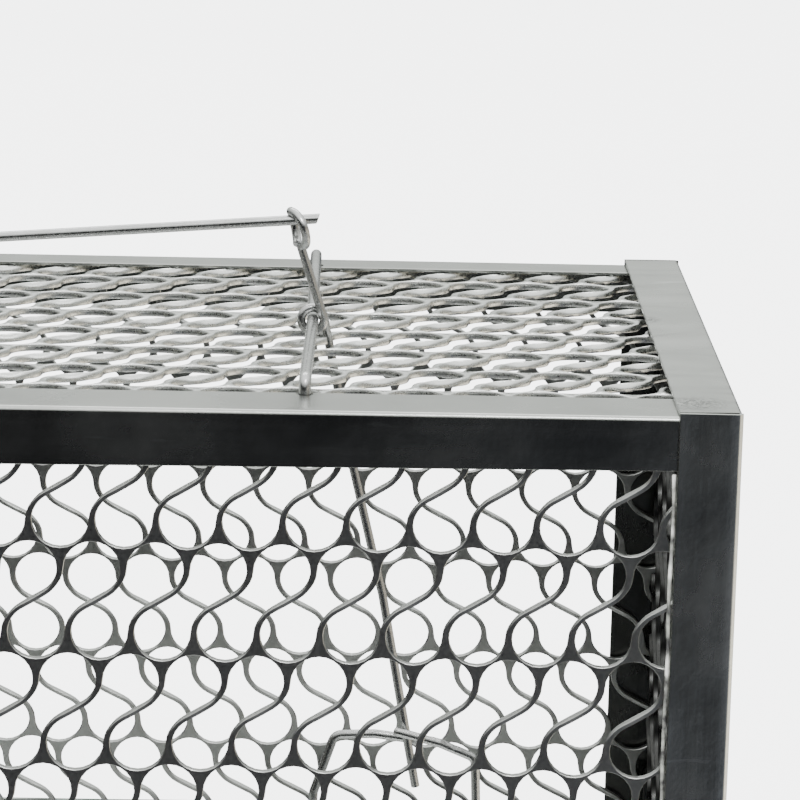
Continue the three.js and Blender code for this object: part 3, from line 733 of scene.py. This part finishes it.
def build_panels():
    x_lo, x_hi = SHIFT - 147.5, SHIFT + 147.5
    z_lo, z_hi = 3.4, 145.8
    side, roof, end, door = 72.0, 147.0, 217.95, 3.7  # the sheets' middles; the door's from its hinge
    panel("punched_sheet_front", "mesh_front", "cage", (x_lo, z_lo), (x_hi, z_hi),
          (120.4, 98.4, 4.85, ROW, False), lambda u, v, w: (u, -side - w, v), MESH, 0.07, 1.3)
    panel("punched_sheet_rear", "mesh_rear", "cage", (x_lo, z_lo), (x_hi, z_hi),
          (75.9, 89.7, 5.5, ROW * 0.985, True), lambda u, v, w: (u, side + w, v), MESH_REAR_PAINTED_LIGHT, -0.07, 4.1)
    panel("punched_sheet_roof", "mesh_roof", "cage", (x_lo, -72.7), (x_hi, 72.7),
          (55.3, 89.6, 4.7, ROOF_ROW, False), lambda u, v, w: (u, v, roof + w), MESH_ROOF_PAINTED_GLINTS, -0.40, 7.7,
          bev=0.15, smooth=58)
    panel("punched_sheet_closed_end", "mesh_closed_end", "cage", (-70.8, z_lo), (70.8, z_hi),
          (118, 12, 4.85, ROW, False), lambda u, v, w: (end + w, u, v), MESH_END_PAINTED_SHADE, -0.2, 9.2)
    panel("punched_sheet_door", "door_mesh", "door", (-59.3, -129.9), (59.3, -9.7),
          (-30, 3, 4.85, ROW, False), lambda u, v, w: door_point(door + w, u, v), MESH, -0.2, 12.5)


# ---- wires ---------------------------------------------------------------------------------------
def treadle_top(x):
    """Height of the tilted treadle plate's upper face."""
    return TREADLE[1] + 3.6 / math.cos(TILT) + (TREADLE[0] - x) * math.tan(TILT)


def build_pivot_wire():
    x, z, foot = PIVOT_X, PIVOT_Z, 141
    path = [(*PIVOT_FRONT, foot), (*PIVOT_FRONT, z), (x, SHANK_Y - 3, z), (x, TAIL_Y + 3, z),
            (*PIVOT_REAR, z), (*PIVOT_REAR, foot)]
    wire("pivot_wire_bent", rounded(path, 2.4, 8), PIVOT_R, "cage", "pivot_wire", sides=24)


def build_trigger():
    """Open eye, shank, one turn round the pivot wire, tail."""
    down, eye_x, eye_z, eye_r = (0.29, -0.957), 60.1 + SHIFT, 172.5, 3.1
    above, under = 3.2, 4.6                    # the eye's reach up and down from its middle
    first, sweep, steps = 161, 341, 40         # degrees round the eye, from its free end to the shank
    path = []
    for k in range(steps):
        a = math.radians(first - (k / steps) * sweep)
        h = (above if math.cos(a) > 0 else under) * -math.cos(a)
        # the front half leans along the rod; the free end, behind, lies against the shank
        lean = 2.0 * math.sin(-a) ** 0.8 if a < 0 else -0.7 * (a / math.radians(first)) ** 2
        path.append(Vector((eye_x + down[0] * h + lean, SHANK_Y + eye_r * math.sin(a), eye_z + down[1] * h)))
    path.append(Vector((eye_x + down[0] * under, SHANK_Y, eye_z + down[1] * under)))
    start, turn, steps, r = math.atan2(down[0], -down[1]), 2 * math.pi + math.radians(4.8), 48, 2.45
    for k in range(steps + 1):
        a = start - turn * k / steps
        y = SHANK_Y + (TAIL_Y - SHANK_Y) * k / steps
        path.append(Vector((PIVOT_X + r * math.cos(a), y, PIVOT_Z + r * math.sin(a))))
    for x, z in ((73.5, 119.1), (80.6, 89.8), (85.9, 61.1), (88.8, 45.7)):
        path.append(Vector((x + SHIFT, TAIL_Y, z)))
    wire("trigger_wire_bent", path, TRIGGER_R, "trigger", "trigger_wire", sides=20, ends=("cut", "cut"))


def build_bails():
    """The two wires on the treadle that the trigger's tail hangs between."""
    lift = 1.3                                 # middle of a wire above the plate it lies on
    aside = 1.05 + 1.0 + 0.3                   # from the tail's middle to a bail's middle

    def on_plate(x):
        return (x, treadle_top(x + SHIFT) + lift)

    for part, y, points, ends, dents in (
            ("rear", TAIL_Y + aside,
             (on_plate(57), on_plate(65.4), (66.2, 43.1), (70.7, 56.7), (79.6, 57), (90, 55.6)), ("cut", "round"),
             ((62, 1.6, 0.22, 0.5), (65.5, 1.4, 0.25, 2.4), (70, 1.5, 0.2, 1.2))),
            ("front", TAIL_Y - aside,
             ((84.2, 59.2), (94, 56.6), (101.8, 53.3), (102.2, 43.9), on_plate(102.7), on_plate(111)),
             ("round", "cut"), ((7, 1.5, 0.2, 0.4), (13, 1.3, 0.18, 2.0)))):
        path = rounded([(x + SHIFT, y, z) for x, z in points], 2.6, 8)
        wire(f"bail_wire_{part}_bent", path, BAIL_R, "treadle", f"bail_wire_{part}", sides=20, ends=ends,
             dents=dents, step=0.8)


def build_rod():
    """The trip rod, laid out with the door shut and turned with it; its free end is cut at a slant."""
    face, gap, out = 1.8, 0.3, -13.3           # the door frame's face, the rod's way off it, its free length's x
    x = face - gap - ROD_R
    free = (out, SHANK_Y, 220.3)
    path = rounded([(x, SHANK_Y, -135), (x, SHANK_Y, -9.5), (out, SHANK_Y, 13), free], 9, 8)
    rod = wire("trip_rod_bent", [Vector(door_point(*p)) for p in path], ROD_R, "door", "trip_rod", sides=24,
               ends=("cut", "cut"), step=6)
    tip = Vector(door_point(*free)) / MM_PER_M
    around, slant, back = 0.0013, 0.4, 0.0005
    for v in rod.data.vertices:
        if (v.co - tip).length < around:
            v.co.x += slant * (v.co.z - tip.z) - back


def build_rolled_edge():
    """A thin light bead behind the front post, beside the mesh."""
    x, y, sway, radius = 207.75, -73.5, 0.12, 0.46
    path = [Vector((x + sway * math.sin(z * 0.21), y, z)) for z in np.arange(2.0, 137.7, 1.5)]
    data = tube_data(path, radius, sides=12, bulge=lambda t: 0.88 + 0.12 * math.sin(t * 61) * math.sin(t * 23 + 1))
    new_object("rolled_edge_front_post", *data, EDGE, "cage", "strip", (), 50)


def build_springs():
    """Each torsion spring in two pieces: the coil with its leg over the roof, and the leg on the door."""
    hx, hz, r, coil_r, turns, steps = HINGE[0], HINGE[1], 0.65, 2.05, 5.333, 120
    roof, spread = 150.95, 1.55                # height of the leg on the roof, advance of the coil per turn
    first, last, under = 20, 28.267, 0.75      # the legs' distances from the middle; the door leg's depth
    o = math.radians(4.39)                     # slope of the open door
    for tag, s in (("front", -1), ("rear", 1)):
        x = hx + coil_r
        path = rounded([(SHIFT - 132, s * first, roof), (x, s * first, roof), (x, s * first, 145.2)], 1.4)
        for k in range(steps + 1):
            a = -turns * 2 * math.pi * k / steps
            y = s * first + s * spread * turns * k / steps
            path.append(Vector((hx + coil_r * math.cos(a), y, hz + coil_r * math.sin(a))))
        wire(f"spring_{tag}_coil", path, r, "cage", f"door_spring_{tag}", SPRING, "spring", sides=14,
             ends=("cut", "round"))
        leg = [Vector((hx - u * math.cos(o) + under * math.sin(o), s * last,
                       hz - u * math.sin(o) - under * math.cos(o))) for u in (3.4, 7, 26)]
        leg.insert(0, path[-1].lerp(leg[0], 0.1))
        wire(f"spring_{tag}_leg", rounded(leg, 2.0), r, "door", f"door_spring_{tag}", SPRING, "spring", sides=14,
             ends=("round", "cut"))


# ---- setting -------------------------------------------------------------------------------------
def build_world():
    world = bpy.data.worlds.new("studio")
    SCENE.world = world
    world.use_nodes = True
    g = Graph(world.node_tree)
    out = g.node("ShaderNodeOutputWorld")
    axes = g.node("ShaderNodeSeparateXYZ")
    g.link(g.node("ShaderNodeTexCoord").outputs["Generated"], axes.inputs[0])

    def ramp(axis, *stops):
        """Colours along an axis; the stops run from 0 at its minus end to 1 at its plus end."""
        return g.ramp(g.maths("MULTIPLY_ADD", axes.outputs[axis], 0.5, 0.5), stops, "EASE")

    # bright behind and overhead, dim below, and dim in front but lighter low down to the right
    back = ramp("Y", (0.0, (0.004, 0.004, 0.005)), (0.44, (0.008, 0.009, 0.011)), (0.54, (0.30, 0.31, 0.30)),
                (1.0, (0.48, 0.50, 0.48)))
    level = ramp("Z", (0.0, (0.03, 0.03, 0.035)), (0.49, (0.05, 0.05, 0.055)), (0.57, 0.8), (0.66, 1))
    up = ramp("Z", (0.0, 0), (0.60, 0), (0.84, (0.62, 0.635, 0.62)), (1.0, (0.85, 0.86, 0.85)))
    below = ramp("Z", (0.0, (0.16, 0.16, 0.165)), (0.2, (0.11, 0.11, 0.115)), (0.31, 0), (1.0, 0))
    front = ramp("X", (0.0, 0.001), (0.46, (0.002, 0.002, 0.0025)), (0.54, (0.010, 0.011, 0.013)),
                 (0.66, (0.10, 0.108, 0.125)), (0.78, (0.16, 0.16, 0.15)), (0.84, (0.95, 0.88, 0.74)))
    low = ramp("Z", (0.32, 1), (0.36, 0.6), (0.40, 0.48), (0.62, 0.15))
    color = g.mix(1, back, level, "MULTIPLY")
    for other in (up, below, g.mix(1, front, low, "MULTIPLY")):
        color = g.mix(1, color, other, "LIGHTEN")

    def light(color, strength):
        bg = g.node("ShaderNodeBackground")
        g.feed(bg.inputs[0], color)
        bg.inputs[1].default_value = strength
        return bg.outputs[0]

    # seen directly, past the floor's far edge, the world is as pale as the floor
    choose = g.node("ShaderNodeMixShader")
    g.link(g.node("ShaderNodeLightPath").outputs["Is Camera Ray"], choose.inputs[0])
    g.link(light(color, 2.4), choose.inputs[1])
    g.link(light((0.87, 0.875, 0.88), 4.8), choose.inputs[2])
    g.link(choose.outputs[0], out.inputs[0])


def area(name, at, look, size, power):
    """A rectangular lamp of the given size and power, aimed at look; metres and watts."""
    ld = bpy.data.lights.new(name, "AREA")
    ld.shape = "RECTANGLE"
    ld.size, ld.size_y = size
    ld.energy = power
    ob = bpy.data.objects.new(name, ld)
    SCENE.collection.objects.link(ob)
    ob.location = at
    ob.rotation_mode = "QUATERNION"
    ob.rotation_quaternion = (Vector(look) - Vector(at)).to_track_quat("-Z", "Y")


def build_setting():
    reach, glow = 30.0, 4.4                    # half the floor's side in metres, and its emission
    me = bpy.data.meshes.new("floor")
    me.from_pydata([(-reach, -reach, 0), (reach, -reach, 0), (reach, reach, 0), (-reach, reach, 0)], [],
                   [(0, 1, 2, 3)])
    floor = bpy.data.objects.new("floor", me)
    SCENE.collection.objects.link(floor)
    m = Mat("pale_floor")
    c = m.ramp(m.noise(3, 2), [(0.3, (0.86, 0.865, 0.87)), (0.7, (0.88, 0.885, 0.89))])
    m.link(c, m.b.inputs["Base Color"])
    m.b.inputs["Roughness"].default_value = 0.9
    m.b.inputs["Specular IOR Level"].default_value = 0.1
    m.link(c, m.b.inputs["Emission Color"])
    m.b.inputs["Emission Strength"].default_value = glow
    me.materials.append(m.mat)
    floor.visible_glossy = False
    area("key_over", (0.40, -0.75, 1.25), (0.1, 0.0, 0.14), (0.5, 0.3), 6)
    area("back_over", (0.1, 0.9, 1.3), (0.1, 0.0, 0.1), (1.2, 0.5), 6)


def build_camera():
    place, lens, sensor = (0.13669, -0.80241, 0.33144), 171.0945, 36  # metres, and millimetres
    yaw, pitch, roll = (math.radians(a) for a in (-1.268, 13.871, 1.32))
    cd = bpy.data.cameras.new("camera")
    cam = bpy.data.objects.new("camera", cd)
    SCENE.collection.objects.link(cam)
    fwd = Vector((-math.sin(yaw) * math.cos(pitch), math.cos(yaw) * math.cos(pitch), -math.sin(pitch)))
    side = fwd.cross(Vector((0, 0, 1))).normalized()
    over = side.cross(fwd)
    right = side * math.cos(roll) + over * math.sin(roll)
    up = over * math.cos(roll) - side * math.sin(roll)
    m = Matrix((right, up, -fwd)).transposed().to_4x4()
    m.translation = Vector(place)
    cam.matrix_world = m
    cd.sensor_width = sensor
    cd.lens = lens
    cd.clip_start, cd.clip_end = 0.01, 200
    SCENE.camera = cam


# ---- what stays as the CAD drew it: painted, with its edges eased ---------------------------------
CAD_FINISH = (
    (WIRE, ("hinge_pin", "treadle_pin")),
    (PLATE, ("floor_sheet", "treadle_plate", "treadle_lug_front", "treadle_lug_rear")),
    (STRIP_Y, ("door_frame", "door_knuckle_front", "door_knuckle_rear", "hinge_lug_front", "hinge_lug_rear",
               "rod_clip_top", "rod_clip_bottom")),
)


def finish_cad(eased=0.00014):
    for mat, names in CAD_FINISH:
        for name in names:
            ob = NODES[name]
            ob.data.materials.clear()
            ob.data.materials.append(mat)
            edge = ob.modifiers.new("eased_edges", "BEVEL")
            edge.width, edge.segments = eased, 2
            edge.limit_method, edge.angle_limit = "ANGLE", math.radians(50)


build_camera()
build_world()
build_setting()
build_rails()
build_end_frames()
build_panels()
build_pivot_wire()
build_trigger()
build_bails()
build_rod()
build_rolled_edge()
build_springs()
finish_cad()
